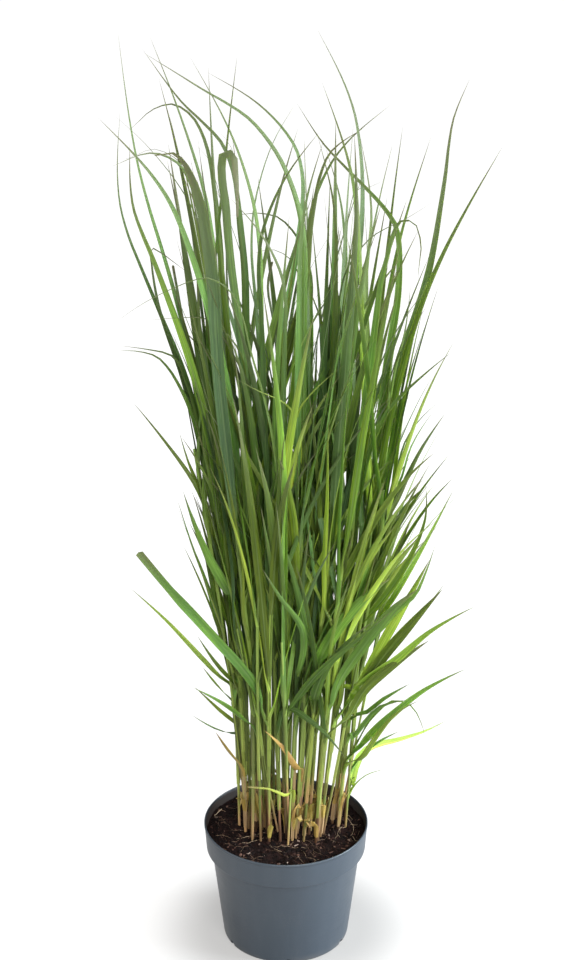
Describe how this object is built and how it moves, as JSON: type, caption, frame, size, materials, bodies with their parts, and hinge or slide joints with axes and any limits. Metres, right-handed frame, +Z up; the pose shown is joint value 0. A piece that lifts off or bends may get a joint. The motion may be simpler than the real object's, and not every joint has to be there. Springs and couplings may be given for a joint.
{
  "type": "potted ornamental grass",
  "caption": "Tall upright clump of ornamental grass with arching strap leaves, growing in compost in a round plastic nursery pot with a banded rim.",
  "frame": {"origin": "centre of the pot's flat underside, on the surface that the pot stands on", "axes": "+Z up along the pot's axis and the clump's height, -Y towards the front of the clump, +X to the right when the clump is seen from the front"},
  "size_m": [0.3858, 0.321, 1.0413],
  "materials": {
    "grey_plastic": "satin",
    "compost": "matte",
    "leaf_green": "satin",
    "young_leaf_green": "satin"
  },
  "bodies": {
    "root": {"pot": "grey_plastic", "soil": "compost", "shoot_01": "leaf_green", "shoot_02": "leaf_green", "shoot_03": "leaf_green", "shoot_04": "leaf_green", "shoot_05": "leaf_green", "shoot_06": "leaf_green", "shoot_07": "leaf_green", "shoot_08": "leaf_green", "shoot_09": "leaf_green", "shoot_10": "leaf_green", "shoot_11": "leaf_green", "shoot_12": "leaf_green", "shoot_13": "leaf_green", "shoot_14": "leaf_green", "shoot_15": "leaf_green", "shoot_16": "leaf_green", "shoot_17": "leaf_green", "shoot_18": "leaf_green", "shoot_19": "leaf_green", "shoot_20": "leaf_green", "shoot_21": "leaf_green", "shoot_22": "leaf_green", "shoot_23": "leaf_green", "shoot_24": "leaf_green", "shoot_25": "leaf_green", "shoot_26": "leaf_green", "shoot_27": "leaf_green", "shoot_28": "leaf_green", "shoot_29": "leaf_green", "shoot_30": "leaf_green", "shoot_31": "leaf_green", "shoot_32": "leaf_green", "shoot_33": "leaf_green", "shoot_34": "leaf_green", "shoot_35": "leaf_green", "shoot_36": "leaf_green", "shoot_37": "leaf_green", "shoot_38": "leaf_green", "shoot_39": "leaf_green", "shoot_40": "leaf_green", "side_blade_01": "young_leaf_green", "side_blade_02": "young_leaf_green", "side_blade_03": "young_leaf_green", "side_blade_04": "young_leaf_green", "side_blade_05": "young_leaf_green", "side_blade_06": "young_leaf_green", "side_blade_07": "young_leaf_green", "side_blade_08": "young_leaf_green", "side_blade_09": "young_leaf_green", "side_blade_10": "young_leaf_green", "side_blade_11": "young_leaf_green", "side_blade_12": "young_leaf_green", "side_blade_13": "young_leaf_green", "side_blade_14": "young_leaf_green", "side_blade_15": "young_leaf_green", "side_blade_16": "young_leaf_green", "side_blade_17": "young_leaf_green", "side_blade_18": "young_leaf_green"}
  },
  "joints": []
}
